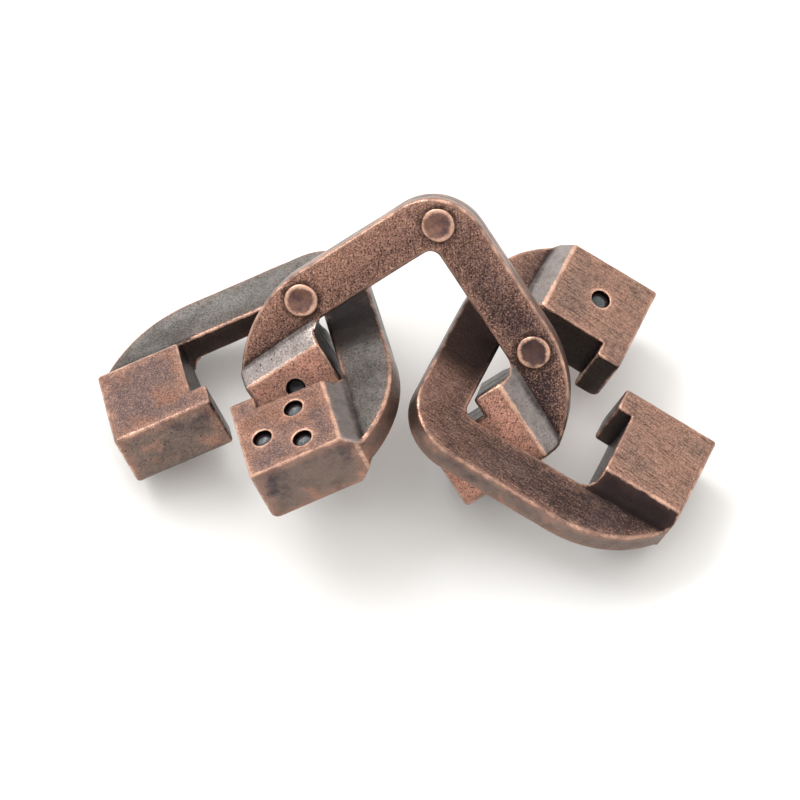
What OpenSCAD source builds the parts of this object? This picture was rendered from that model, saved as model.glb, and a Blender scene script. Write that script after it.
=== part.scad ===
// Disentanglement puzzle: three square open rings of cast metal, linked through each other.
// The middle ring is two halves riveted together; the outer rings are one casting each.
// Every ring lies in its own frame: arms along +X and +Y from the corner, front face towards +Z.

/* [Ring] */
// Outside length of each arm
ring_size = 40; // [36:0.5:48]
// Width of the flat arms
arm_width = 7.2; // [6.8:0.1:7.2]
// Thickness of the flat arms
arm_thick = 4.1; // [3.6:0.1:4.1]
// Radius of the ring's outside corner
corner_round = 8; // [6:0.5:9]
// Radius of the long curve at the outside of each arm's end
end_round = 18; // [16:0.5:20]
// Where that curve starts along the arm
end_start = 25; // [24:0.5:28]
// Fillet radius inside the ring's corners
inner_round = 1.6; // [0.8:0.1:2]

/* [End blocks] */
// Width of an end block, along its arm
block_width = 12.3; // [11:0.1:13]
// Reach of an end block from the outside of its arm
block_reach = 23.1; // [20:0.1:24]
// How far a block stands above and below its arm
block_rise = 2.7; // [2:0.1:3]
// Run of the slope between arm and block
slope_run = 2.4; // [1:0.1:3]
// Radius along the lower edge of a block's free end, on the outer rings
toe_round = 1.2; // [1.2:0.1:3]
// The same radius on the middle ring
middle_toe_round = 2.2; // [2.2:0.1:4]
// Width of the nose at a block's free end
nose_width = 3.7; // [2:0.1:5]
// How far the nose stands into the ring
nose_out = 2.3; // [1:0.1:2.3]
// Where the middle ring's plain block steps back, from its slope
step_from = 4.3; // [3:0.1:8]
// Depth of that step
step_depth = 2.6; // [2.6:0.1:4]

/* [Marking dots] */
// Diameter of a dot
dot_d = 2.7; // [1.5:0.1:3.5]
// Depth of a dot
dot_depth = 0.9; // [0.6:0.1:2.4]
// Distance between neighbouring dots
dot_pitch = 6.1; // [4:0.1:6.5]

/* [Rivets] */
// Diameter of a rivet head
head_d = 4.7; // [3.6:0.1:5.4]
// Height of a rivet head above the arm
head_h = 0.35; // [0.15:0.05:0.5]
// Depth of the dish in a rivet head
dish_depth = 0.2; // [0.05:0.05:0.3]
// Diameter of a rivet's shank
shank_d = 2.6; // [1.6:0.1:3.2]

/* [Hidden] */
$fn = 96;

// Heights in a ring's own frame: the back of the arms is at 0
block_top = arm_thick + block_rise;
block_foot = -block_rise;
block_start = arm_width + slope_run;
block_inside = ring_size - block_width;
split_height = arm_thick / 2;
wide = 2 * ring_size;
// Extra length of a cut or a join, so that it passes through
over = 1;

// The dish in a rivet head is a shallow cap of a sphere, inside a narrow rim: its share of the
// head's diameter, half its width and the sphere's radius
dish_share = 0.84;
dish_half = dish_share * head_d / 2;
dish_sphere = (dish_half * dish_half + dish_depth * dish_depth) / (2 * dish_depth);

// Centre of the dotted face on the block at the end of the Y arm
dot_centre = [(block_start + block_reach) / 2, ring_size - block_width / 2];
// Rivets stand on the arms' centre lines, and one in the corner
rivet_end = 26.9;
rivet_corner = 4.9;
RIVETS = [[rivet_corner, rivet_corner], [rivet_end, arm_width / 2], [arm_width / 2, rivet_end]];

// How each ring lies on the table: turn about X, Y and Z, then the place of its corner
left_turn = [18.2, 15.8, -162];
left_at = [-6.4, 23.5, 10.48];
middle_turn = [-35.6, 26.5, -157.6];
middle_at = [6.2, 23.5, 32.405];
right_turn = [-8.5, 17.5, -26];
right_at = [-2.4, -10.4, 17.695];

// The waste outside a quarter-round corner of radius r, at the origin
module corner_waste(r) {
  difference() {
    square(r);
    translate([r, r]) circle(r);
  }
}

// The waste outside the long curve at the end of the X arm
module end_waste() {
  difference() {
    translate([end_start, 0]) square([ring_size, end_round]);
    translate([end_start, end_round]) circle(end_round);
  }
}

// Whole square with its corner and both arm ends rounded
module ring_outline() {
  difference() {
    square(ring_size);
    corner_waste(corner_round);
    intersection() {
      end_waste();
      square([ring_size, block_start]);
    }
    swap_arms()
      intersection() {
        end_waste();
        square([ring_size, block_start]);
      }
  }
}

// The two flat arms with the fillet between them
module arms_plan() {
  square([ring_size, arm_width]);
  square([arm_width, ring_size]);
  translate([arm_width, arm_width]) corner_waste(inner_round);
}

// Fillet between the X arm and its block
module block_fillet() {
  translate([block_inside, arm_width]) mirror([1, 0]) corner_waste(inner_round);
}

// Plan of the block at the end of the X arm, with the nose at its free end
module nosed_plan() {
  translate([block_inside, 0]) square([block_width, block_reach]);
  translate([block_inside - nose_out, block_reach - nose_width])
    square([nose_out + over, nose_width]);
  block_fillet();
}

// The same block with a step in place of the nose
module stepped_plan() {
  difference() {
    translate([block_inside, 0]) square([block_width, block_reach]);
    translate([block_inside - over, block_start + step_from])
      square([step_depth + over, block_reach]);
  }
  block_fillet();
}

// Side view of a block: distance along its reach, then height
module block_profile(toe) {
  difference() {
    polygon([
      [0, 0], [arm_width, 0], [block_start, block_foot], [block_reach, block_foot],
      [block_reach, block_top], [block_start, block_top], [arm_width, arm_thick], [0, arm_thick]
    ]);
    translate([block_reach, block_foot]) mirror([1, 0]) corner_waste(toe);
  }
}

// Block at the end of the X arm; its plan is the child
module end_block(toe) {
  intersection() {
    translate([0, 0, block_foot])
      linear_extrude(block_top - block_foot)
        intersection() {
          children();
          ring_outline();
        }
    rotate([90, 0, 90]) linear_extrude(wide) block_profile(toe);
  }
}

// Swaps a ring's X and Y arms
module swap_arms() {
  mirror([1, -1, 0]) children();
}

// One open ring; the child is the plan of the block at the end of the Y arm, seen on the X arm
module ring_body(toe = toe_round) {
  linear_extrude(arm_thick)
    intersection() {
      arms_plan();
      ring_outline();
    }
  end_block(toe) nosed_plan();
  swap_arms() end_block(toe) children();
}

// Blind dots sunk into the front of a block
module dots(places) {
  for (place = places)
    translate([place[0], place[1], block_top - dot_depth])
      cylinder(h = dot_depth + over, d = dot_d);
}

// A triangle of dots around a centre
function dot_triangle(centre) = [
  for (turn = [60, 180, 300])
    centre + dot_pitch / sqrt(3) * [-cos(turn), sin(turn)]
];

module middle_link() {
  difference() {
    ring_body(middle_toe_round) stepped_plan();
    dots([for (side = [-1, 1]) [dot_centre[1], dot_centre[0] + side * dot_pitch / 2]]);
    for (place = RIVETS)
      translate([place[0], place[1], -wide / 2]) cylinder(h = wide, d = shank_d);
  }
}

// Half-space below or above the split plane
module half_space(side) {
  translate([-wide / 2, -wide / 2, side > 0 ? split_height : split_height - wide])
    cube([2 * wide, 2 * wide, wide]);
}

// Head with a dish turned into its top
module rivet_head() {
  rotate_extrude()
    difference() {
      square([head_d / 2, head_h]);
      translate([0, head_h + dish_sphere - dish_depth]) circle(dish_sphere);
    }
}

module rivet() {
  cylinder(h = arm_thick, d = shank_d);
  translate([0, 0, arm_thick]) rivet_head();
  mirror([0, 0, 1]) rivet_head();
}

module left_link() {
  color("peru") translate(left_at) rotate(left_turn)
    difference() {
      ring_body() nosed_plan();
      dots(dot_triangle(dot_centre));
    }
}

module right_link() {
  color("peru") translate(right_at) rotate(right_turn)
    difference() {
      ring_body() nosed_plan();
      dots([dot_centre]);
    }
}

module middle_link_front() {
  color("sienna") translate(middle_at) rotate(middle_turn)
    intersection() {
      middle_link();
      half_space(1);
    }
}

module middle_link_back() {
  color("sienna") translate(middle_at) rotate(middle_turn)
    intersection() {
      middle_link();
      half_space(-1);
    }
}

module rivets() {
  color("rosybrown") translate(middle_at) rotate(middle_turn)
    for (place = RIVETS)
      translate([place[0], place[1], 0]) rivet();
}

left_link();
right_link();
middle_link_front();
middle_link_back();
rivets();
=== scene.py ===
"""Looks of a three-ring metal disentanglement puzzle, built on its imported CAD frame.

Each ring is a merged copy of its CAD casting with rounded edges, cupped dots and a finish of
antiqued copper: dark patina on the flats, bare copper where hands and the other rings rub.
"""

import math
from types import SimpleNamespace

import bmesh
import bpy
import numpy as np
from bpy.props import FloatProperty, FloatVectorProperty, PointerProperty
from mathutils import Euler, Matrix, Vector


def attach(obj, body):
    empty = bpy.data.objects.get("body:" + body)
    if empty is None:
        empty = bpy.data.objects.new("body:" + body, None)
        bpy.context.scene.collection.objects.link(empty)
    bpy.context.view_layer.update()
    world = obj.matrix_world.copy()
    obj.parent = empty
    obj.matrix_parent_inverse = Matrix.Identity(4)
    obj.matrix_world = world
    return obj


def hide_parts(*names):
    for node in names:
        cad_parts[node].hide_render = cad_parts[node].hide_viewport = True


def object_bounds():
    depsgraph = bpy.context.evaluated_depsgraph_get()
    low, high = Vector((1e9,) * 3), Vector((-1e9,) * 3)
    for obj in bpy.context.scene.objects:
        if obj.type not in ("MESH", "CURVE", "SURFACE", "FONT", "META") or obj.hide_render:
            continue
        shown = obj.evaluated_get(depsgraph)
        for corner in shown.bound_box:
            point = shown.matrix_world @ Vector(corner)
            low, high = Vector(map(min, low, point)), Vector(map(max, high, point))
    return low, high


bl_info = {
    "name": "Ring puzzle looks",
    "version": (1, 0, 0),
    "blender": (4, 5, 0),
    "location": "3D View > Sidebar > Ring puzzle",
    "description": "Rounded, worn copper rings and rivets for a three-ring disentanglement puzzle",
    "category": "Object",
}

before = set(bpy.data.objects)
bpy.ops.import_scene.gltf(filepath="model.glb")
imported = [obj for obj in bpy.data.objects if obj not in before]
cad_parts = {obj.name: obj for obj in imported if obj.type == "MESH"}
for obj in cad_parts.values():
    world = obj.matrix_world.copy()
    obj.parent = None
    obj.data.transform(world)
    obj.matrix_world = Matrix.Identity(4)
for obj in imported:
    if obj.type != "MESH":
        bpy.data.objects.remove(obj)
CAD_LOW, CAD_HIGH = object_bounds()
MM = 0.001

# A ring's own frame, in millimetres: arms along +X and +Y from the corner, front face up
RING_SIZE = 40.0
ARM_WIDTH = 7.2
ARM_THICK = 4.1
BLOCK_WIDTH = 12.3
BLOCK_REACH = 23.1
BLOCK_RISE = 2.7
SLOPE_RUN = 2.4
SPLIT_HEIGHT = ARM_THICK / 2
BLOCK_TOP = ARM_THICK + BLOCK_RISE
DOT_RADIUS = 1.35
DOT_DEPTH = 0.9
DOT_FLOOR = BLOCK_TOP - DOT_DEPTH
DOT_PITCH = 6.1
DOT_CENTRE = ((ARM_WIDTH + SLOPE_RUN + BLOCK_REACH) / 2, RING_SIZE - BLOCK_WIDTH / 2)
RIVET_CORNER = 4.9
RIVET_END = 26.9
RIVET_PLACES = np.array([
    [RIVET_CORNER, RIVET_CORNER],
    [RIVET_END, ARM_WIDTH / 2],
    [ARM_WIDTH / 2, RIVET_END],
])


def dot_triangle():
    """Three dots at equal distances round the centre of the dotted block."""
    turn = np.radians([60.0, 180.0, 300.0])
    spread = DOT_PITCH / math.sqrt(3.0)
    return np.array(DOT_CENTRE) + spread * np.stack([-np.cos(turn), np.sin(turn)], axis=1)


def dot_pair():
    """Two dots side by side on the block at the end of the X arm."""
    side = np.array([-0.5, 0.5]) * DOT_PITCH
    return np.stack([np.full(2, DOT_CENTRE[1]), DOT_CENTRE[0] + side], axis=1)


# Turn about X, Y and Z in degrees, place of the corner in millimetres, and the dots
LAYOUT = {
    "left": ((18.2, 15.8, -162.0), (-6.4, 23.5, 10.48), dot_triangle()),
    "middle": ((-35.6, 26.5, -157.6), (6.2, 23.5, 32.405), dot_pair()),
    "right": ((-8.5, 17.5, -26.0), (-2.4, -10.4, 17.695), np.array([DOT_CENTRE])),
}


def ring_place(ring):
    """Matrix that carries a ring's own frame, in millimetres, into the row frame, in metres."""
    turn, corner, _ = LAYOUT[ring]
    spin = Euler([math.radians(a) for a in turn], "XYZ").to_matrix().to_4x4()
    return Matrix.Translation(Vector(corner) * MM) @ spin @ Matrix.Scale(MM, 4)


# ---------------------------------------------------------------- settings

class RingSettings(bpy.types.PropertyGroup):
    edge_round: FloatProperty(
        name="Edge rounding", description="Width of the rounding along the rings' edges",
        default=0.5 * MM, min=0.05 * MM, max=0.6 * MM, unit="LENGTH", precision=5)
    seam_share: FloatProperty(
        name="Seam rounding", description="Rounding at the seam of the middle ring, as a share",
        default=0.34, min=0.1, max=1.0, subtype="FACTOR")
    dot_share: FloatProperty(
        name="Dot rim rounding", description="Rounding round each dot, as a share",
        default=0.3, min=0.1, max=1.0, subtype="FACTOR")
    cup_depth: FloatProperty(
        name="Dot cup depth", description="How far the bottom of a dot is hollowed",
        default=0.3 * MM, min=0.1 * MM, max=1.0 * MM, unit="LENGTH", precision=5)
    waviness: FloatProperty(
        name="Casting waviness", description="Height of the slow unevenness of the cast faces",
        default=0.035 * MM, min=0.0, max=0.08 * MM, unit="LENGTH", precision=5)


class RivetSettings(bpy.types.PropertyGroup):
    head_diameter: FloatProperty(
        name="Head diameter", description="Diameter of a rivet head",
        default=4.7 * MM, min=4.0 * MM, max=5.4 * MM, unit="LENGTH", precision=5)
    head_height: FloatProperty(
        name="Head height", description="Height of a rivet head above the arm",
        default=0.35 * MM, min=0.15 * MM, max=0.5 * MM, unit="LENGTH", precision=5)
    dish_depth: FloatProperty(
        name="Dish depth", description="Depth of the dish hammered into a head",
        default=0.26 * MM, min=0.05 * MM, max=0.3 * MM, unit="LENGTH", precision=5)
    shank_diameter: FloatProperty(
        name="Shank diameter", description="Diameter of a rivet between its heads",
        default=2.6 * MM, min=1.6 * MM, max=3.2 * MM, unit="LENGTH", precision=5)


def colour_property(name, description, default):
    """A colour that the user may change."""
    return FloatVectorProperty(
        name=name, description=description, default=default, min=0.0, max=1.0, size=3,
        subtype="COLOR")


class FinishSettings(bpy.types.PropertyGroup):
    bare_copper: colour_property(
        "Bare copper", "Copper rubbed bright along the edges", (0.74, 0.45, 0.33))
    block_copper: colour_property(
        "Block copper", "Brushed copper of the block faces", (0.31, 0.165, 0.12))
    arm_patina: colour_property(
        "Arm patina", "Purple-brown patina of the arms", (0.105, 0.066, 0.068))
    wall_brown: colour_property(
        "Wall brown", "Warm brown of the side walls", (0.19, 0.14, 0.118))
    # Painted reflection: the dark blue-black reflection on the side walls
    reflection_blue: colour_property(
        "Reflection blue", "Blue-black stains on the side walls", (0.06, 0.047, 0.056))
    slope_grey: colour_property(
        "Slope grey", "Pale metal of the slopes", (0.31, 0.275, 0.26))
    dot_grey: colour_property(
        "Dot grey", "Blue-grey metal at the bottom of a dot", (0.12, 0.128, 0.132))
    # Painted shade in the creases, in the dots, round the rivets' feet and where the middle ring
    # crosses, and the black patina of the creases and pits
    shade_and_patina_black: colour_property(
        "Shade and patina black", "Black left in corners, pits and dots", (0.018, 0.012, 0.012))


class StageSettings(bpy.types.PropertyGroup):
    floor_colour: colour_property("Floor", "Pale colour of the floor", (0.86, 0.855, 0.84))
    key_power: FloatProperty(
        name="Key light", description="Power of the big soft light behind the puzzle",
        default=3.0, min=0.0, unit="POWER")
    camera_height: FloatProperty(
        name="Camera height", description="Angle of the camera above the floor",
        default=math.radians(61.0), min=0.1, max=1.5, subtype="ANGLE")
    camera_distance: FloatProperty(
        name="Camera distance", description="Distance from the camera to the puzzle",
        default=0.82364, min=0.3, max=3.0, unit="LENGTH")
    camera_lens: FloatProperty(
        name="Camera lens", description="Focal length of the camera",
        default=265.5, min=35.0, max=500.0, unit="CAMERA")


# ---------------------------------------------------------------- node helpers

def add(tree, kind, **settings):
    """Adds one node with its settings."""
    node = tree.nodes.new(kind)
    for key, value in settings.items():
        setattr(node, key, value)
    return node


def feed(tree, socket, value):
    """Gives a socket either a link or a plain value."""
    if isinstance(value, bpy.types.NodeSocket):
        tree.links.new(value, socket)
    else:
        socket.default_value = value


def calc(tree, operation, *values):
    """One step of arithmetic."""
    node = add(tree, "ShaderNodeMath", operation=operation)
    for socket, value in zip(node.inputs, values):
        feed(tree, socket, value)
    return node.outputs[0]


def times(tree, first, *others):
    """Product of two or more values."""
    for other in others:
        first = calc(tree, "MULTIPLY", first, other)
    return first


def scaled(tree, value, share, base):
    """A value times a share, plus a base."""
    return calc(tree, "MULTIPLY_ADD", value, share, base)


def fade(tree, value, start, end, low=0.0, high=1.0):
    """Smooth step of a value: low at start and before it, high at end and past it."""
    node = add(tree, "ShaderNodeMapRange", interpolation_type="SMOOTHSTEP")
    feed(tree, node.inputs["Value"], value)
    feed(tree, node.inputs["From Min"], start)
    feed(tree, node.inputs["From Max"], end)
    feed(tree, node.inputs["To Min"], low)
    feed(tree, node.inputs["To Max"], high)
    return node.outputs["Result"]


def with_alpha(colour):
    """A linked colour as it is, and a plain one with the alpha that its socket wants."""
    return colour if isinstance(colour, bpy.types.NodeSocket) else (*colour, 1.0)


def blend(tree, share, first, second):
    """Mix of two colours: the first at share 0, the second at share 1."""
    node = add(tree, "ShaderNodeMix", data_type="RGBA")
    feed(tree, node.inputs["Factor"], share)
    feed(tree, node.inputs[6], with_alpha(first))
    feed(tree, node.inputs[7], with_alpha(second))
    return node.outputs[2]


def lay(tree, colour, tone, mask, strength):
    """Lays a tone over a colour where the mask is 1, at the given strength."""
    return blend(tree, times(tree, mask, strength), colour, tone)


def toned(colour, share):
    """A colour at a share of its brightness."""
    return [share * c for c in colour]


def stored(tree, name, output="Fac"):
    """An attribute that the piece's mesh carries."""
    return add(tree, "ShaderNodeAttribute", attribute_name=name).outputs[output]


def parts_of(tree, vector):
    """The three parts of a vector."""
    node = add(tree, "ShaderNodeSeparateXYZ")
    feed(tree, node.inputs[0], vector)
    return node.outputs


def noise(tree, place, scale, detail, rough):
    """Cloudy noise at a place, 0 to 1."""
    node = add(tree, "ShaderNodeTexNoise")
    feed(tree, node.inputs["Vector"], place)
    feed(tree, node.inputs["Scale"], scale)
    feed(tree, node.inputs["Detail"], detail)
    feed(tree, node.inputs["Roughness"], rough)
    return node.outputs["Fac"]


def bumped(tree, height, strength, depth):
    """Normal of a surface that has this height."""
    node = add(tree, "ShaderNodeBump")
    feed(tree, node.inputs["Strength"], strength)
    feed(tree, node.inputs["Distance"], depth)
    feed(tree, node.inputs["Height"], height)
    return node.outputs[0]


def empty_material(name):
    """A new material and its node tree, with no nodes yet."""
    material = bpy.data.materials.new(name)
    material.use_nodes = True
    material.node_tree.nodes.clear()
    return material, material.node_tree


def metal_shader(tree, colour, rough, normal):
    """Puts the metal shader and the output at the end of a material."""
    shader = add(tree, "ShaderNodeBsdfPrincipled")
    shader.inputs["Metallic"].default_value = 1.0
    feed(tree, shader.inputs["Base Color"], colour)
    feed(tree, shader.inputs["Roughness"], rough)
    feed(tree, shader.inputs["Normal"], normal)
    out = add(tree, "ShaderNodeOutputMaterial")
    feed(tree, out.inputs["Surface"], shader.outputs[0])


def new_group(name, inputs, outputs):
    """Starts a node group with named sockets; a vector input is given as None."""
    group = bpy.data.node_groups.new(name, "ShaderNodeTree")
    for label, value in inputs.items():
        kind = "NodeSocketVector" if value is None else "NodeSocketFloat"
        socket = group.interface.new_socket(label, in_out="INPUT", socket_type=kind)
        if value is not None:
            socket.default_value = value
    for label in outputs:
        group.interface.new_socket(label, in_out="OUTPUT", socket_type="NodeSocketFloat")
    return group, add(group, "NodeGroupInput").outputs, add(group, "NodeGroupOutput").inputs


def use(tree, group, **values):
    """Places a group in a material with its own values and returns its outputs."""
    node = add(tree, "ShaderNodeGroup")
    node.node_tree = group
    for label, value in values.items():
        feed(tree, node.inputs[label.replace("_", " ")], value)
    return node.outputs


# ---------------------------------------------------------------- shared effects

def edge_strip_group():
    """Edge strip: 1 at an edge, fading out over Width, with the fade broken up by noise; it masks wear,
    and painted shade along creases.
    """
    tree, given, out = new_group(
        "Edge strip", {"Place": None, "Gap": 9.0, "Width": 0.8, "Break up": 0.6}, ["Mask"])
    cloud = calc(tree, "SUBTRACT", noise(tree, given["Place"], scale=0.55, detail=4.0, rough=0.62), 0.5)
    fine = calc(tree, "SUBTRACT", noise(tree, given["Place"], scale=4.5, detail=2.0, rough=0.6), 0.5)
    wander = scaled(tree, fine, 1.1, scaled(tree, cloud, 2.6, 0.0))
    shift = times(tree, wander, given["Break up"], given["Width"])
    gap = calc(tree, "ADD", given["Gap"], shift)
    feed(tree, out["Mask"], fade(tree, gap, 0.0, given["Width"], low=1.0, high=0.0))
    return tree


def grain_group():
    """Brushed grain: noise squeezed across one direction, and sparser long scratches."""
    tree, given, out = new_group(
        "Brushed grain", {"Place": None, "Turn": 0.0, "Fineness": 7.0, "Stretch": 9.0},
        ["Grain", "Scratches"])
    spin = add(tree, "ShaderNodeVectorRotate", rotation_type="Z_AXIS")
    feed(tree, spin.inputs["Vector"], given["Place"])
    feed(tree, spin.inputs["Angle"], given["Turn"])
    along = calc(tree, "DIVIDE", given["Fineness"], given["Stretch"])
    squeeze = add(tree, "ShaderNodeCombineXYZ")
    feed(tree, squeeze.inputs["X"], along)
    feed(tree, squeeze.inputs["Y"], given["Fineness"])
    feed(tree, squeeze.inputs["Z"], along)
    drawn = add(tree, "ShaderNodeVectorMath", operation="MULTIPLY")
    feed(tree, drawn.inputs[0], spin.outputs[0])
    feed(tree, drawn.inputs[1], squeeze.outputs[0])
    feed(tree, out["Grain"], noise(tree, drawn.outputs[0], scale=1.0, detail=3.0, rough=0.65))
    lines = noise(tree, drawn.outputs[0], scale=1.3, detail=1.0, rough=0.4)
    feed(tree, out["Scratches"], fade(tree, lines, 0.69, 0.78))
    return tree


def pit_group():
    """Cast pits: small round hollows of mixed size, a fine speckle, and the grit of the skin."""
    tree, given, out = new_group(
        "Cast pits", {"Place": None, "Closeness": 1.6, "Share": 0.5, "Grit size": 2.3},
        ["Pits", "Speckle", "Grit"])
    cells = add(tree, "ShaderNodeTexVoronoi", feature="F1")
    feed(tree, cells.inputs["Vector"], given["Place"])
    feed(tree, cells.inputs["Scale"], given["Closeness"])
    chance = parts_of(tree, cells.outputs["Color"])
    reach = times(tree, calc(tree, "SUBTRACT", given["Share"], chance[0]), 0.34)
    reach = calc(tree, "MAXIMUM", reach, 0.001)
    pits = fade(tree, cells.outputs["Distance"], 0.0, reach, low=1.0, high=0.0)
    speckle = fade(tree, noise(tree, given["Place"], scale=5.0, detail=2.0, rough=0.75), 0.52, 0.64)
    grit = noise(tree, given["Place"], scale=given["Grit size"], detail=3.0, rough=0.75)
    for label, value in (("Pits", pits), ("Speckle", speckle), ("Grit", grit)):
        feed(tree, out[label], value)
    return tree


EFFECTS = {}


def effect(name):
    """A shared effect, built the first time that it is asked for."""
    makers = {"rub": edge_strip_group, "grain": grain_group, "pit": pit_group}
    if name not in EFFECTS:
        EFFECTS[name] = makers[name]()
    return EFFECTS[name]


# Masks rubbed wear along edges, and painted shade along creases
def rubbed(tree, place, gap, width, break_up):
    """Band along an edge or a crease: 1 on it, 0 from about width away."""
    return use(tree, effect("rub"), Place=place, Gap=gap, Width=width, Break_up=break_up)["Mask"]


# ---------------------------------------------------------------- ring finish

# A stretch that lies off the ring, for a ring with no painted shade where the middle ring crosses
NO_SHADE = (99.0, 1.0)

# What differs between the rings' finishes:
#   wear                    width of the rubbed strip along the edges
#   turn, stretch, brushed  direction, length and strength of the brushed grain
#   grit, mottle            fineness and strength of the cast skin
#   block, patch            colours of the block faces
#   arm, copper             colour of the arms, and how much copper shows on them
#   lean, rubbed            which arm is rubbed more (1 the X arm, -1 the Y arm), and how much
#   slope                   how dark the X arm's slope is painted, as painted shade
#   shade                   centre and half width, along the Y arm, of the painted shade where the middle ring crosses
LOOKS = {
    "left": {
        "wear": 2.0, "turn": 0.5, "stretch": 10.0, "brushed": 0.2, "grit": 5.5, "mottle": 0.75,
        "block": (0.25, 0.128, 0.09), "patch": (0.16, 0.108, 0.1), "arm": (0.185, 0.182, 0.172),
        "copper": 0.25, "lean": 1.0, "rubbed": 0.0, "slope": 0.5, "shade": (15.0, 9.0)},
    "middle": {
        "wear": 2.6, "turn": -0.95, "stretch": 12.0, "brushed": 0.75, "grit": 4.2, "mottle": 1.0,
        "block": (0.95, 0.47, 0.35), "patch": (0.65, 0.34, 0.26), "arm": (0.08, 0.052, 0.058),
        "copper": 1.0, "lean": 1.0, "rubbed": 0.95, "slope": 0.0, "shade": NO_SHADE},
    "right": {
        "wear": 1.8, "turn": 0.1, "stretch": 22.0, "brushed": 1.0, "grit": 4.2, "mottle": 0.6,
        "block": (0.37, 0.215, 0.16), "patch": (0.27, 0.175, 0.135), "arm": (0.072, 0.053, 0.053),
        "copper": 0.9, "lean": -1.0, "rubbed": 0.6, "slope": 0.97, "shade": (19.0, 9.0)},
}


def read_ring(tree, look):
    """What a ring's material knows at each point: its place, the kind of face and the patterns."""
    here = SimpleNamespace()
    here.place = stored(tree, "ring_place", "Vector")
    here.x, here.y, here.z = parts_of(tree, here.place)
    here.block, here.slope, here.arm = parts_of(tree, stored(tree, "face_kind", "Vector"))
    here.dot_wall, here.dot_cup, here.x_slope = parts_of(tree, stored(tree, "other_kind", "Vector"))
    here.inside = stored(tree, "shaded_inner_wall")
    here.edge = stored(tree, "edge_gap")
    here.crease = stored(tree, "crease_gap")
    here.flats = calc(tree, "MAXIMUM", here.block, here.arm)

    spot = add(tree, "ShaderNodeMapping")
    feed(tree, spot.inputs["Vector"], add(tree, "ShaderNodeTexCoord").outputs["Object"])
    feed(tree, spot.inputs["Scale"], (1 / MM, 1 / MM, 1 / MM))
    here.cloud = noise(tree, spot.outputs[0], scale=0.15, detail=4.0, rough=0.62)
    here.stain = noise(tree, spot.outputs[0], scale=0.45, detail=4.0, rough=0.65)
    here.grain, here.scratches = use(
        tree, effect("grain"), Place=here.place, Turn=look["turn"], Fineness=10.5,
        Stretch=look["stretch"])
    here.pits, here.speckle, here.grit = use(
        tree, effect("pit"), Place=here.place, Closeness=1.15, Share=0.66, Grit_size=look["grit"])
    here.brushed = times(tree, here.flats, look["brushed"])
    here.fine = times(tree, here.grain, here.brushed)

    # How much copper may show, and how much more it shows near an edge
    here.copper = scaled(tree, here.arm, look["copper"] - 1.0, 1.0)
    near = rubbed(tree, here.place, here.edge, width=look["wear"], break_up=0.6)
    here.near = times(tree, near, here.copper)
    return here


def side_walls(tree, here, finish):
    """Warm brown, with blue-black and orange patches of painted reflection laid by noise, and painted
    shade that makes a wall nearly black where it looks inwards.
    """
    # Painted reflection: blue-black patches for the dark reflection on the walls
    walls = blend(tree, fade(tree, here.cloud, 0.5, 0.68), finish.wall_brown, finish.reflection_blue)
    # Painted reflection: orange patches for the bright copper reflection on the walls
    orange = fade(tree, here.cloud, 0.46, 0.32, high=0.85)
    walls = blend(tree, orange, walls, toned(finish.block_copper, 1.2))
    brown = fade(tree, here.stain, 0.4, 0.75, high=0.4)
    walls = blend(tree, brown, walls, toned(finish.wall_brown, 0.45))
    # Painted shade: walls that look into the ring are nearly black
    return lay(tree, walls, toned(finish.wall_brown, 0.13), here.inside, 0.93)


def block_faces(tree, here, look):
    """Copper with duller patches."""
    return blend(tree, fade(tree, here.cloud, 0.4, 0.6), look["block"], look["patch"])


def arm_faces(tree, here, finish, look):
    """Clouded patina, copper towards the end of one arm, darker towards the inside of the ring."""
    light, dark = toned(look["arm"], 1.15), toned(look["arm"], 0.5)
    arms = blend(tree, fade(tree, here.cloud, 0.38, 0.66), light, dark)
    apart = calc(tree, "SUBTRACT", here.x, here.y)
    lean = fade(tree, apart, -26.0 * look["lean"], 22.0 * look["lean"])
    arms = lay(tree, arms, toned(finish.block_copper, 1.4), lean, look["rubbed"])
    across = calc(tree, "MINIMUM", here.x, here.y)
    return blend(tree, fade(tree, across, 2.5, 7.0, high=0.65), arms, dark)


def slope_faces(tree, here, finish):
    """Pale metal with faint stains."""
    faint = fade(tree, here.stain, 0.4, 0.7)
    return blend(tree, faint, finish.slope_grey, toned(finish.slope_grey, 0.75))


def face_colours(tree, here, finish, look):
    """Each kind of face in its own tone, with painted shade on the X arm's slope."""
    colour = side_walls(tree, here, finish)
    colour = blend(tree, here.block, colour, block_faces(tree, here, look))
    colour = blend(tree, here.arm, colour, arm_faces(tree, here, finish, look))
    colour = blend(tree, here.slope, colour, slope_faces(tree, here, finish))
    # Painted shade: the X arm's slope darkened towards black
    return lay(tree, colour, toned(finish.arm_patina, 0.25), here.x_slope, look["slope"])


def worn_copper(tree, here, finish, colour):
    """Copper shows through along the grain, most near the edges, with dull lines between."""
    streak = times(tree, fade(tree, here.grain, 0.47, 0.68), here.brushed)
    show = scaled(tree, here.near, 0.45, 0.3)
    colour = lay(tree, colour, toned(finish.bare_copper, 0.85), streak, show)
    glow = scaled(tree, calc(tree, "MAXIMUM", here.slope, here.inside), -0.42, 0.5)
    colour = lay(tree, colour, toned(finish.block_copper, 1.3), here.near, glow)
    dull = fade(tree, here.grain, 0.52, 0.36)
    colour = lay(tree, colour, toned(finish.arm_patina, 0.45), dull, times(tree, here.brushed, 0.7))
    return lay(tree, colour, finish.bare_copper, here.scratches, times(tree, here.flats, 0.3))


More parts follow.
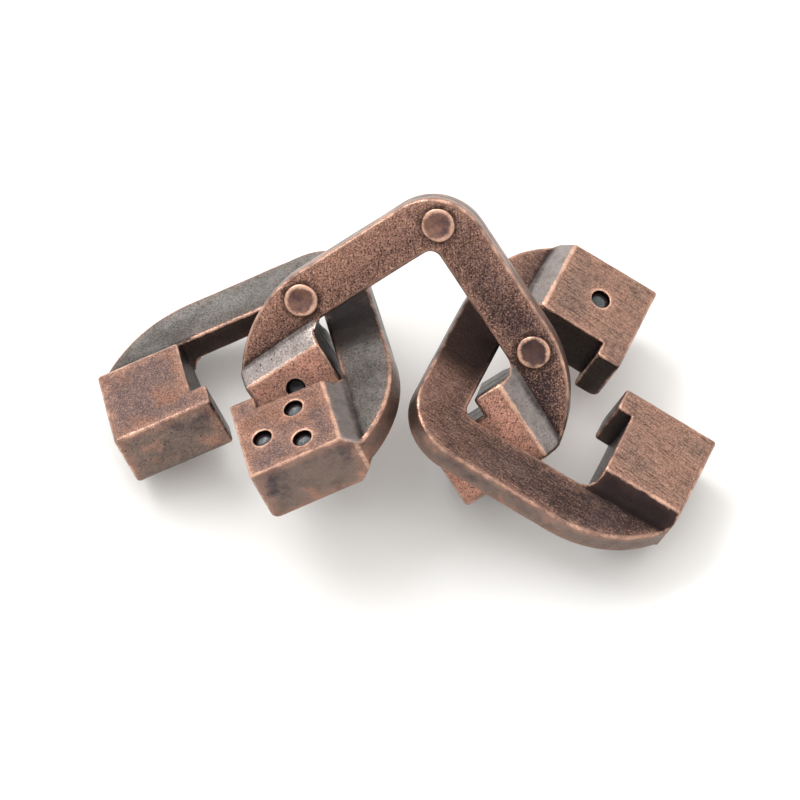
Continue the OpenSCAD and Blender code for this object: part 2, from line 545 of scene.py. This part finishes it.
def cast_mottle(tree, here, finish, look, colour):
    """Mottle of the flats: dark hollows and bright worn grains of the cast skin."""
    mottle = scaled(tree, here.grit, 0.9, times(tree, here.stain, 0.1))
    amount = times(tree, here.flats, look["mottle"])
    hollows = times(tree, fade(tree, mottle, 0.48, 0.4), scaled(tree, here.near, -0.3, 0.95))
    colour = lay(tree, colour, toned(finish.arm_patina, 0.3), hollows, amount)
    grains = times(tree, fade(tree, mottle, 0.53, 0.6), scaled(tree, here.near, 0.35, 0.4))
    return lay(tree, colour, finish.bare_copper, grains, times(tree, amount, here.copper))


def crossing_shade_stretch(tree, here, look):
    """Painted shade on the stretch of the Y arm that the middle ring crosses: 1 along it, 0 away from
    it.
    """
    centre, half = look["shade"]
    away = calc(tree, "ABSOLUTE", calc(tree, "SUBTRACT", here.y, centre))
    crossing_shade = fade(tree, away, 0.45 * half, half, low=1.0, high=0.0)
    return times(tree, crossing_shade, fade(tree, here.x, 9.5, 7.0), fade(tree, here.stain, 0.15, 0.4))


def blackened(tree, here, finish, crossing_shade, colour):
    """Painted shade where the middle ring crosses and in the creases, over the creases' dark patina;
    black in the pits.
    """
    # Painted shade, nearly black, where the middle ring crosses the Y arm
    colour = lay(tree, colour, finish.shade_and_patina_black, crossing_shade, 0.9)
    # Painted shade along the creases, over their dark patina
    crease_shade_and_patina = rubbed(tree, here.place, here.crease, width=1.0, break_up=0.35)
    colour = lay(tree, colour, finish.shade_and_patina_black, crease_shade_and_patina, 0.85)
    colour = lay(tree, colour, toned(finish.arm_patina, 0.3), here.speckle, 0.42)
    return lay(tree, colour, finish.shade_and_patina_black, here.pits, 0.85)


def dot_shade_colours(tree, here, finish, colour):
    """Painted shade in the dots: black walls, and a cup that is black at its edge and blue-grey in its
    middle.
    """
    colour = blend(tree, here.dot_wall, colour, finish.shade_and_patina_black)
    # Painted shade: the cup is black towards its edge, grey only where it is deepest
    deep = fade(tree, here.z, DOT_FLOOR - 0.08, DOT_FLOOR - 0.2)
    cup = blend(tree, deep, finish.shade_and_patina_black, finish.dot_grey)
    return blend(tree, here.dot_cup, colour, cup)


def ring_roughness(tree, here, bare):
    """The walls and slopes are smooth, the flats rougher, the bare edges polished."""
    rough = scaled(tree, here.flats, 0.12, 0.27)
    rough = scaled(tree, fade(tree, here.stain, 0.3, 0.7), 0.12, rough)
    rough = scaled(tree, bare, -0.1, rough)
    return scaled(tree, here.fine, 0.1, rough)


def ring_height(tree, here):
    """Height of the skin: grain, stains and grit stand up; scratches, pits and speckle are sunk."""
    height = scaled(tree, here.scratches, times(tree, here.flats, -0.5), here.fine)
    height = scaled(tree, here.pits, -1.4, height)
    height = scaled(tree, here.speckle, -0.45, height)
    height = scaled(tree, here.stain, 1.0, height)
    return scaled(tree, here.grit, scaled(tree, here.flats, 1.2, 0.5), height)


def copper_finish(name, finish, look):
    """Antiqued copper of a ring: a tone for each kind of face, then wear, mottle, painted shade with
    black pits, and rims.
    """
    material, tree = empty_material(name)
    here = read_ring(tree, look)
    colour = face_colours(tree, here, finish, look)
    colour = worn_copper(tree, here, finish, colour)
    colour = cast_mottle(tree, here, finish, look, colour)
    # Painted shade on the Y arm where the middle ring crosses it
    crossing_shade = crossing_shade_stretch(tree, here, look)
    colour = blackened(tree, here, finish, crossing_shade, colour)

    rim = rubbed(tree, here.place, here.edge, width=0.45, break_up=0.8)
    # Less bare copper on the painted shade stretch
    bare = times(tree, rim, scaled(tree, crossing_shade, -0.5, 0.85), here.copper)
    colour = blend(tree, bare, colour, finish.bare_copper)
    colour = dot_shade_colours(tree, here, finish, colour)
    normal = bumped(tree, ring_height(tree, here), strength=0.8, depth=0.09 * MM)
    metal_shader(tree, colour, ring_roughness(tree, here, bare), normal)
    return material


# ---------------------------------------------------------------- ring shapes

# Two heights or places closer than this, in millimetres, are the same
SAME = 1e-3
# Points of the CAD solid closer than this are merged
MERGE_GAP = 0.04
# Neighbouring faces are made one below the first angle, and shaded as one below the second
FLAT = math.radians(1.0)
SMOOTH = math.radians(38.0)
# An edge is rounded between these angles; past the second it is only a sliver, where a fillet
# runs out into a slope
SHARP = math.radians(25.0)
SLIVER = math.radians(115.0)
# Marks that wear, painted shade and dark patina are measured from: their step along an edge, how
# many go round a circle, and a place far off the ring for a piece that has none
MARK_STEP = 0.15
CIRCLE_MARKS = 60
FAR_OFF = 1e3
# Points that are measured at one time
BATCH = 1500
# Step of the grid that the faces are cut on, and the shift that keeps a cut off the edges
GRID_STEP = 0.9
GRID_SHIFT = 0.47
# A dot's cup: how many radii its rings have, the last one as a share of the first, and a depth
# that no cup reaches; the height of the dot's rounded rim; and how near counts as on the dot
CUP_RADII = 7
CUP_END = 0.12
CUP_LIMIT = 0.7
DOT_RIM = 0.12
DOT_SLACK = 0.05
# The height part of a face's normal: level above the first, upright below the second
LEVEL = 0.97
UPRIGHT = 0.3
# How far a face's centre may lie off the line of a slope
SLOPE_SLACK = 0.5
# Where the arms' inner walls end and the blocks' begin, along X and along Y
INNER_LIMIT = ARM_WIDTH + 1.7
# Unevenness of a cast face: three crossing waves, in radians per millimetre along X, Y and Z and
# where each one starts, fading out over a stretch beside a crease
WAVES = np.array([[0.61, 0.35, 0.9], [-0.5, 0.43, -0.7], [1.13, 0.8, 0.4]])
WAVE_STARTS = np.array([0.0, 1.7, 0.6])
WAVE_FADE = 1.5


def points_along(edges):
    """Points at even steps along straight edges: start plus share times the edge, as one array."""
    if not edges:
        return np.full((1, 3), FAR_OFF)
    ends = np.array([[tuple(v.co) for v in e.verts] for e in edges])
    lengths = np.linalg.norm(ends[:, 1] - ends[:, 0], axis=1)
    counts = np.maximum(2, np.ceil(lengths / MARK_STEP).astype(int) + 1)
    owner = np.repeat(np.arange(len(ends)), counts)
    index = np.arange(counts.sum()) - np.repeat(np.cumsum(counts) - counts, counts)
    share = (index / (counts[owner] - 1))[:, None]
    return ends[owner, 0] * (1 - share) + ends[owner, 1] * share


def gap_to(points, marks):
    """Distance from each point to the nearest mark, worked out in batches of points."""
    found = np.empty(len(points))
    for start in range(0, len(points), BATCH):
        part = points[start:start + BATCH]
        square = (part ** 2).sum(1)[:, None] + (marks ** 2).sum(1)[None] - 2 * part @ marks.T
        found[start:start + BATCH] = np.sqrt(np.maximum(square.min(1), 0.0))
    return found


def circles(places, radius, height):
    """Points round circles at one height: centre plus radius times (cos, sin) of the turn."""
    turn = np.linspace(0, 2 * math.pi, CIRCLE_MARKS, endpoint=False)
    ring = radius * np.stack([np.cos(turn), np.sin(turn)], axis=1)
    flat = (np.asarray(places)[:, None] + ring[None]).reshape(-1, 2)
    return np.column_stack([flat, np.full(len(flat), height)])


def near_dot(point, dots, reach):
    """True where a point lies within reach of a dot's axis, above the dot's bottom."""
    away = np.hypot(dots[:, 0] - point.x, dots[:, 1] - point.y).min()
    return away < reach and point.z > DOT_FLOOR - DOT_SLACK


def on_seam(edge):
    """True for an edge that runs along the split between the middle ring's halves."""
    return all(abs(v.co.z - SPLIT_HEIGHT) < SAME for v in edge.verts)


def merged_solid(node, place):
    """The CAD solid in its ring's own frame, with its points merged and its flat faces whole."""
    bm = bmesh.new()
    bm.from_mesh(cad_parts[node].data)
    bm.transform(place.inverted())
    bmesh.ops.remove_doubles(bm, verts=bm.verts, dist=MERGE_GAP)
    bmesh.ops.dissolve_limit(bm, angle_limit=FLAT, verts=bm.verts, edges=bm.edges)
    bm.normal_update()
    return bm


def edge_marks(bm, dots):
    """Points along the outward edges, where the metal wears, and along the creases, where shade is
    painted over the dark patina.
    """
    sharp = [e for e in bm.edges if e.is_manifold and e.calc_face_angle() > SHARP]
    worn = [e for e in sharp if e.is_convex and not on_seam(e)]
    creases = [
        e for e in sharp
        if not e.is_convex and not near_dot(e.verts[0].co, dots, DOT_RADIUS + 0.15)
    ]
    return points_along(worn), points_along(creases)


def round_edges(bm, dots, settings):
    """Rounds every outward edge; the seam of the middle ring and the dots' rims are finer."""
    weights = bm.edges.layers.float.new("bevel_weight_edge")
    for e in bm.edges:
        if not e.is_manifold or not e.is_convex or not SHARP < e.calc_face_angle() < SLIVER:
            continue
        middle = (e.verts[0].co + e.verts[1].co) / 2
        rim = near_dot(middle, dots, DOT_RADIUS + DOT_SLACK)
        e[weights] = settings.seam_share if on_seam(e) else settings.dot_share if rim else 1.0
    mesh = bpy.data.meshes.new("rounding")
    bm.to_mesh(mesh)
    bm.free()
    piece = bpy.data.objects.new("rounding", mesh)
    bpy.context.scene.collection.objects.link(piece)
    bevel = piece.modifiers.new("Edge rounding", "BEVEL")
    bevel.limit_method = "WEIGHT"
    bevel.width = settings.edge_round / MM
    bevel.segments = 3
    bevel.use_clamp_overlap = False
    final = piece.evaluated_get(bpy.context.evaluated_depsgraph_get())
    rounded = bpy.data.meshes.new_from_object(final)
    bpy.data.objects.remove(piece)
    bpy.data.meshes.remove(mesh)
    bm = bmesh.new()
    bm.from_mesh(rounded)
    bpy.data.meshes.remove(rounded)
    bm.normal_update()
    return bm


def cup_dots(bm, dots, depth):
    """Hollows the flat bottom of each dot: inset rings that sink as 1 minus radius squared."""
    bottoms = [
        f for f in bm.faces
        if abs(f.calc_center_median().z - DOT_FLOOR) < SAME
        and f.normal.z > LEVEL
        and near_dot(f.calc_center_median() + Vector((0, 0, 0.1)), dots, DOT_RADIUS)
    ]
    shares = np.linspace(1.0, CUP_END, CUP_RADII)
    sink = depth / MM * (1 - shares ** 2)
    for inner, outer, low, high in zip(shares[1:], shares[:-1], sink[1:], sink[:-1]):
        bmesh.ops.inset_individual(
            bm, faces=bottoms, thickness=DOT_RADIUS * (outer - inner), depth=high - low,
            use_even_offset=True)


def cut_grid(bm):
    """Cuts the faces on an even grid in the ring's own frame, so that wear and painted shade have points
    to sit on.
    """
    spans = ((0, 0.0, RING_SIZE), (1, 0.0, RING_SIZE), (2, -BLOCK_RISE, BLOCK_TOP))
    for axis, low, high in spans:
        normal = Vector([1.0 if i == axis else 0.0 for i in range(3)])
        count = int((high - low) / GRID_STEP)
        for k in range(1, count + 1):
            offset = low + (high - low) * (k - GRID_SHIFT) / count
            bmesh.ops.bisect_plane(
                bm, geom=bm.verts[:] + bm.edges[:] + bm.faces[:], dist=1e-5,
                plane_co=normal * offset, plane_no=normal)


def read_vectors(items, key):
    """One vector for each item of a mesh, as an array of rows."""
    values = np.empty(len(items) * 3)
    items.foreach_get(key, values)
    return values.reshape(-1, 3)


def face_kinds(mesh, dots):
    """What each face is, from its normal and its centre.

    The first array is (block face, slope, arm face), the second (dot wall, dot cup, slope on the X
    arm), and the third says whether the face is a wall that looks into the ring. The dot walls and
    cups, the X arm's slope and the inward walls get painted shade.
    """
    normal, centre = read_vectors(mesh.polygons, "normal"), read_vectors(mesh.polygons, "center")
    tilt, height = np.abs(normal[:, 2]), centre[:, 2]
    beyond = np.maximum(height - ARM_THICK, -height)
    block = (tilt > LEVEL) & (beyond > 0.8 * BLOCK_RISE)
    arm = (tilt > LEVEL) & (np.abs(beyond) < 0.1)

    # A slope's face lies where the slope's line, run up from the arm's inner edge, has its height
    first_arm = normal[:, 1] < normal[:, 0]
    along = np.where(first_arm, centre[:, 1], centre[:, 0])
    climb = (along - ARM_WIDTH) * BLOCK_RISE / SLOPE_RUN
    on_line = np.abs(beyond - np.maximum(climb, 0.0)) < SLOPE_SLACK
    in_run = (climb > -SLOPE_SLACK) & (climb < BLOCK_RISE)
    slope = (tilt > UPRIGHT) & ~block & ~arm & on_line & in_run

    away = np.hypot(centre[:, None, 0] - dots[:, 0], centre[:, None, 1] - dots[:, 1]).min(1)
    sunk = (away < DOT_RADIUS + 0.01) & (height > DOT_FLOOR - CUP_LIMIT)
    cup = sunk & (height < DOT_FLOOR + 0.01)
    wall = sunk & ~cup & (height < BLOCK_TOP - DOT_RIM)

    flat_normal, flat_centre = normal[:, :2], centre[:, :2]
    inward = np.where(flat_centre < INNER_LIMIT, flat_normal > 0.5, flat_normal < -0.5).any(1)
    kinds = np.column_stack([block & ~sunk, slope, arm])
    others = np.column_stack([wall, cup, slope & first_arm])
    return kinds, others, (tilt < UPRIGHT) & inward & ~sunk


def store(mesh, name, values, domain="POINT"):
    """Keeps an array on the mesh as a named attribute."""
    values = np.asarray(values, np.float32)
    kind, key = ("FLOAT_VECTOR", "vector") if values.ndim == 2 else ("FLOAT", "value")
    mesh.attributes.new(name, kind, domain).data.foreach_set(key, values.ravel())


def waved(points, normals, crease_gap, settings):
    """Points sunk along their normals by half the waviness times 1 plus the mean of the waves."""
    wave = np.sin(points @ WAVES.T + WAVE_STARTS).mean(axis=1)
    settled = np.clip(crease_gap / WAVE_FADE, 0.0, 1.0)
    return points - normals * (0.5 * settings.waviness / MM * (1 + wave) * settled)[:, None]


def as_piece(name, mesh, ring, material, smooth):
    """The finished mesh as a piece in the row frame, shaded smooth up to an angle."""
    mesh.transform(ring_place(ring))
    mesh.polygons.foreach_set("use_smooth", np.ones(len(mesh.polygons), bool))
    mesh.set_sharp_from_angle(angle=smooth)
    mesh.materials.append(material)
    mesh.update()
    piece = bpy.data.objects.new(name, mesh)
    bpy.context.scene.collection.objects.link(piece)
    return piece


def casting(name, node, body, ring, material, settings, rivets=None):
    """One casting: the CAD solid merged, its edges rounded, its dots cupped and its faces waved."""
    dots = LAYOUT[ring][2]
    bm = merged_solid(node, ring_place(ring))
    worn, crease = edge_marks(bm, dots)
    if rivets is not None:
        # The rivet heads' feet count as creases, for a ring of painted shade round each head
        heads = [circles(RIVET_PLACES, rivets.head_diameter / MM / 2, h) for h in (0.0, ARM_THICK)]
        crease = np.concatenate([crease, *heads])
    bm = round_edges(bm, dots, settings)
    cup_dots(bm, dots, settings.cup_depth)
    cut_grid(bm)
    bm.normal_update()
    mesh = bpy.data.meshes.new(name)
    bm.to_mesh(mesh)
    bm.free()

    kinds, other_kinds, inside = face_kinds(mesh, dots)
    points, normals = read_vectors(mesh.vertices, "co"), read_vectors(mesh.vertices, "normal")
    crease_gap = gap_to(points, crease)
    store(mesh, "ring_place", points)
    store(mesh, "edge_gap", gap_to(points, worn))
    store(mesh, "crease_gap", crease_gap)
    store(mesh, "face_kind", kinds, "FACE")
    store(mesh, "other_kind", other_kinds, "FACE")
    store(mesh, "shaded_inner_wall", inside, "FACE")
    mesh.vertices.foreach_set("co", waved(points, normals, crease_gap, settings).ravel())

    piece = as_piece(name, mesh, ring, material, SMOOTH)
    even = piece.modifiers.new("Even shading", "WEIGHTED_NORMAL")
    even.weight = 100
    even.keep_sharp = True
    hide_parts(node)
    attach(piece, body)
    return piece


# ---------------------------------------------------------------- rivets

RIVET_TURNS = 72
RIVET_SMOOTH = math.radians(50.0)
# Radius of the dish and of the rim's rounding, as shares of the head's radius
DISH_SHARE = 0.8
RIM_SHARE = 0.16
# Height at the foot of the rim's rounding, as a share of the head's height
RIM_FOOT = 0.3
DISH_POINTS = 12
RIM_POINTS = 9
# How uneven a rivet's outline is: share of the radius, number of lobes, and turn from one rivet
# to the next
LOBES = ((0.012, 2, 5), (0.008, 5, 9))
# Depth of the dent in a dish, in millimetres, and its turn from one rivet to the next
DENT_DEPTH = 0.06
DENT_TURN = 2.5


def turned(profile_radius, profile_height, centre, number):
    """A closed turned solid; number tells its unevenness from that of the other rivets.

    Point (turn, step) is at radius(step) times 1 plus the lobes' sines from the axis, and at
    height(step) plus the dent, which is the cosine of the turn times the sine of half a circle
    from the axis to the rim. The first and last steps are single points on the axis.
    """
    turn = np.linspace(0, 2 * math.pi, RIVET_TURNS, endpoint=False)[None]
    radius, height = profile_radius[1:-1, None], profile_height[1:-1, None]
    lumps = sum(share * np.sin(count * turn + shift * number) for share, count, shift in LOBES)
    reach = radius * (1 + lumps)
    dent = DENT_DEPTH * np.cos(turn - DENT_TURN * number) * np.sin(np.pi * radius / radius.max())
    level = height + np.sign(height - SPLIT_HEIGHT) * dent
    grid = np.stack([
        centre[0] + reach * np.cos(turn),
        centre[1] + reach * np.sin(turn),
        np.broadcast_to(level, reach.shape),
    ], axis=2).reshape(-1, 3)
    poles = np.array([[*centre, profile_height[0]], [*centre, profile_height[-1]]])

    # Points 0 and 1 are the poles, and the steps follow, each a full turn
    steps = len(profile_radius) - 2
    row, column = np.meshgrid(np.arange(steps - 1), np.arange(RIVET_TURNS), indexing="ij")
    following = (column + 1) % RIVET_TURNS
    first = 2 + row * RIVET_TURNS
    second = first + RIVET_TURNS
    quads = np.stack(
        [first + column, second + column, second + following, first + following],
        axis=2).reshape(-1, 4)
    column, following = column[0], following[0]
    last = 2 + (steps - 1) * RIVET_TURNS
    caps = np.concatenate([
        np.stack([np.zeros_like(column), 2 + column, 2 + following], axis=1),
        np.stack([np.ones_like(column), last + following, last + column], axis=1),
    ])
    return np.concatenate([poles, grid]), quads, caps


def rivet_profile(settings):
    """Radius and height down a rivet: dish, rounded rim, head's side, shank, then mirrored."""
    head = settings.head_diameter / MM / 2
    rise = settings.head_height / MM
    dish = settings.dish_depth / MM
    shank = settings.shank_diameter / MM / 2
    dish_share = np.linspace(0.0, 1.0, DISH_POINTS)
    dish_radius = DISH_SHARE * head * dish_share
    dish_height = rise - dish * (1 - dish_share ** 2) ** 1.5
    roll = np.radians(np.linspace(90.0, 0.0, RIM_POINTS))[1:]
    rim_radius = (1 - RIM_SHARE) * head + RIM_SHARE * head * np.cos(roll)
    rim_height = RIM_FOOT * rise + (1 - RIM_FOOT) * rise * np.sin(roll)
    radius = np.concatenate([dish_radius, rim_radius, [head, shank]])
    height = ARM_THICK + np.concatenate([dish_height, rim_height, [0.0, 0.0]])
    return np.concatenate([radius, radius[::-1]]), np.concatenate([height, ARM_THICK - height[::-1]])


def rivet_finish(finish):
    """Copper-brown rivet heads, bright copper along the rim as rubbed wear and painted highlight, and
    painted shade round their feet; the one on the Y arm is darkest.
    """
    material, tree = empty_material("rivet copper")
    place = stored(tree, "ring_place", "Vector")
    x, y, _ = parts_of(tree, place)
    cloud = noise(tree, place, scale=0.6, detail=4.0, rough=0.65)
    dark = toned(finish.arm_patina, 1.1)
    colour = blend(tree, fade(tree, cloud, 0.34, 0.62), dark, toned(finish.block_copper, 0.85))
    far_arm = fade(tree, calc(tree, "SUBTRACT", x, y), -6.0, -18.0, high=0.75)
    colour = blend(tree, far_arm, colour, toned(dark, 0.5))
    _, speckle, grit = use(tree, effect("pit"), Place=place, Closeness=1.5, Share=0.5)
    # Painted highlight along the rims, with the rubbed wear there
    rim = rubbed(tree, place, stored(tree, "edge_gap"), width=0.5, break_up=1.0)
    colour = lay(tree, colour, finish.bare_copper, rim, 0.95)
    colour = lay(tree, colour, dark, speckle, 0.35)
    # Painted shade round the heads' feet, over the dark patina there
    crease_shade_and_patina = rubbed(tree, place, stored(tree, "crease_gap"), width=0.3, break_up=0.3)
    colour = lay(tree, colour, finish.shade_and_patina_black, crease_shade_and_patina, 0.9)
    height = scaled(tree, cloud, 3.0, times(tree, grit, 1.2))
    normal = bumped(tree, height, strength=0.5, depth=0.06 * MM)
    metal_shader(tree, colour, scaled(tree, cloud, 0.2, 0.28), normal)
    return material


def rivet_set(settings, finish):
    """The three rivets of the middle ring, as one piece."""
    radius, height = rivet_profile(settings)
    points, faces = [], []
    start = 0
    for number, centre in enumerate(RIVET_PLACES, 1):
        solid, quads, caps = turned(radius, height, centre, number)
        points.append(solid)
        faces.extend((quads + start).tolist() + (caps + start).tolist())
        start += len(solid)
    points = np.concatenate(points)
    mesh = bpy.data.meshes.new("middle_ring_rivets")
    mesh.from_pydata(points.tolist(), [], faces)
    head = settings.head_diameter / MM / 2
    # Rims of the heads, where a highlight is painted with the wear
    rim_heights = (ARM_THICK + settings.head_height / MM, -settings.head_height / MM)
    rims = np.concatenate([circles(RIVET_PLACES, 0.9 * head, h) for h in rim_heights])
    # Feet of the heads, where a ring of shade is painted
    feet = np.concatenate([circles(RIVET_PLACES, head, h) for h in (0.0, ARM_THICK)])
    store(mesh, "ring_place", points)
    store(mesh, "edge_gap", gap_to(points, rims))
    store(mesh, "crease_gap", gap_to(points, feet))
    bm = bmesh.new()
    bm.from_mesh(mesh)
    bmesh.ops.recalc_face_normals(bm, faces=bm.faces)
    bm.to_mesh(mesh)
    bm.free()
    piece = as_piece("middle_ring_rivets", mesh, "middle", rivet_finish(finish), RIVET_SMOOTH)
    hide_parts("rivets")
    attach(piece, "middle_ring")
    return piece


# ---------------------------------------------------------------- stage

FLOOR_HALF = 3.0
# The brighter side of the sky, behind and above the puzzle
SKY_SIDE = (-0.1, 0.62, 0.78)
KEY_PLACE = (-0.32, 0.30, 0.62)
KEY_LENGTH = 0.5
KEY_WIDTH = 0.35
# The camera's aim: its shift from the middle of the CAD box, and its height above the floor
AIM_SHIFT = (-0.00085, 0.0009)
AIM_HEIGHT = 0.008
SENSOR_WIDTH = 36.0
CLIP_START = 0.01


def floor_material(colour):
    """Plain pale paper-like floor with a very faint mottle."""
    material = bpy.data.materials.new("pale floor")
    material.use_nodes = True
    tree = material.node_tree
    shader = tree.nodes["Principled BSDF"]
    where = add(tree, "ShaderNodeTexCoord").outputs["Object"]
    cloud = noise(tree, where, scale=6.0, detail=3.0, rough=0.5)
    feed(tree, shader.inputs["Base Color"], blend(tree, cloud, colour, toned(colour, 0.97)))
    shader.inputs["Roughness"].default_value = 0.8
    return material


def build_stage(settings):
    """Floor, soft light from behind and above, and the camera."""
    corners = [
        (x * FLOOR_HALF, y * FLOOR_HALF, 0.0) for x, y in ((-1, -1), (1, -1), (1, 1), (-1, 1))
    ]
    mesh = bpy.data.meshes.new("floor")
    mesh.from_pydata(corners, [], [(0, 1, 2, 3)])
    mesh.materials.append(floor_material(settings.floor_colour))
    floor = bpy.data.objects.new("floor", mesh)
    bpy.context.scene.collection.objects.link(floor)

    world = bpy.data.worlds.new("studio")
    bpy.context.scene.world = world
    world.use_nodes = True
    tree = world.node_tree
    background = tree.nodes["Background"]
    aim = add(tree, "ShaderNodeVectorMath", operation="DOT_PRODUCT")
    feed(tree, aim.inputs[0], add(tree, "ShaderNodeTexCoord").outputs["Generated"])
    aim.inputs[1].default_value = SKY_SIDE
    feed(tree, background.inputs["Strength"], fade(tree, aim.outputs["Value"], -0.5, 0.9, 0.8, 1.5))
    background.inputs["Color"].default_value = (1.0, 0.99, 0.975, 1.0)
    bpy.context.scene.view_settings.view_transform = "Standard"

    light = bpy.data.lights.new("key", "AREA")
    light.shape = "RECTANGLE"
    light.size = KEY_LENGTH
    light.size_y = KEY_WIDTH
    light.energy = settings.key_power
    key = bpy.data.objects.new("key", light)
    key.location = KEY_PLACE
    key.rotation_mode = "QUATERNION"
    key.rotation_quaternion = (-key.location).to_track_quat("-Z", "Y")
    bpy.context.scene.collection.objects.link(key)

    centre = (CAD_LOW + CAD_HIGH) / 2
    aim_point = Vector((centre.x + AIM_SHIFT[0], centre.y + AIM_SHIFT[1], AIM_HEIGHT))
    lean = settings.camera_height
    back = Vector((0.0, -math.cos(lean), math.sin(lean)))
    data = bpy.data.cameras.new("camera")
    data.lens = settings.camera_lens
    data.sensor_width = SENSOR_WIDTH
    data.clip_start = CLIP_START
    camera = bpy.data.objects.new("camera", data)
    camera.location = aim_point + back * settings.camera_distance
    camera.rotation_mode = "QUATERNION"
    camera.rotation_quaternion = (-back).to_track_quat("-Z", "Y")
    bpy.context.scene.collection.objects.link(camera)
    bpy.context.scene.camera = camera


# ---------------------------------------------------------------- operators and panel

class PUZZLE_OT_outer_rings(bpy.types.Operator):
    """Build the left and right rings"""

    bl_idname = "puzzle.outer_rings"
    bl_label = "Outer rings"

    def execute(self, context):
        scene = context.scene
        for side in ("left", "right"):
            metal = copper_finish(f"{side} ring copper", scene.puzzle_finish, LOOKS[side])
            casting(f"{side}_ring", f"{side}_link", f"{side}_ring", side, metal,
                    scene.puzzle_rings)
        return {"FINISHED"}


class PUZZLE_OT_middle_ring(bpy.types.Operator):
    """Build the two halves of the middle ring"""

    bl_idname = "puzzle.middle_ring"
    bl_label = "Middle ring"

    def execute(self, context):
        scene = context.scene
        metal = copper_finish("middle ring copper", scene.puzzle_finish, LOOKS["middle"])
        for half in ("front", "back"):
            casting(f"middle_ring_{half}", f"middle_link_{half}", "middle_ring", "middle", metal,
                    scene.puzzle_rings, scene.puzzle_rivets)
        return {"FINISHED"}


class PUZZLE_OT_rivets(bpy.types.Operator):
    """Build the three rivets of the middle ring"""

    bl_idname = "puzzle.rivets"
    bl_label = "Rivets"

    def execute(self, context):
        rivet_set(context.scene.puzzle_rivets, context.scene.puzzle_finish)
        return {"FINISHED"}


class PUZZLE_OT_stage(bpy.types.Operator):
    """Build the floor, light and camera"""

    bl_idname = "puzzle.stage"
    bl_label = "Stage"

    def execute(self, context):
        build_stage(context.scene.puzzle_stage)
        return {"FINISHED"}


class PUZZLE_PT_sidebar(bpy.types.Panel):
    """Lists the steps that build the puzzle's looks"""

    bl_idname = "PUZZLE_PT_sidebar"
    bl_label = "Ring puzzle"
    bl_space_type = "VIEW_3D"
    bl_region_type = "UI"
    bl_category = "Ring puzzle"

    def draw(self, context):
        for name in SETTINGS:
            group = getattr(context.scene, name)
            box = self.layout.box()
            for key in group.__annotations__:
                box.prop(group, key)
        for kind in STEPS:
            self.layout.operator(kind.bl_idname)


SETTINGS = {
    "puzzle_rings": RingSettings,
    "puzzle_rivets": RivetSettings,
    "puzzle_finish": FinishSettings,
    "puzzle_stage": StageSettings,
}
STEPS = (PUZZLE_OT_outer_rings, PUZZLE_OT_middle_ring, PUZZLE_OT_rivets, PUZZLE_OT_stage)


def register():
    for kind in (*SETTINGS.values(), *STEPS, PUZZLE_PT_sidebar):
        bpy.utils.register_class(kind)
    for name, kind in SETTINGS.items():
        setattr(bpy.types.Scene, name, PointerProperty(type=kind))


def unregister():
    for name in SETTINGS:
        delattr(bpy.types.Scene, name)
    for kind in reversed((*SETTINGS.values(), *STEPS, PUZZLE_PT_sidebar)):
        bpy.utils.unregister_class(kind)


def main():
    """Builds everything in order."""
    register()
    bpy.ops.puzzle.outer_rings()
    bpy.ops.puzzle.middle_ring()
    bpy.ops.puzzle.rivets()
    bpy.ops.puzzle.stage()


if __name__ == "__main__":
    main()
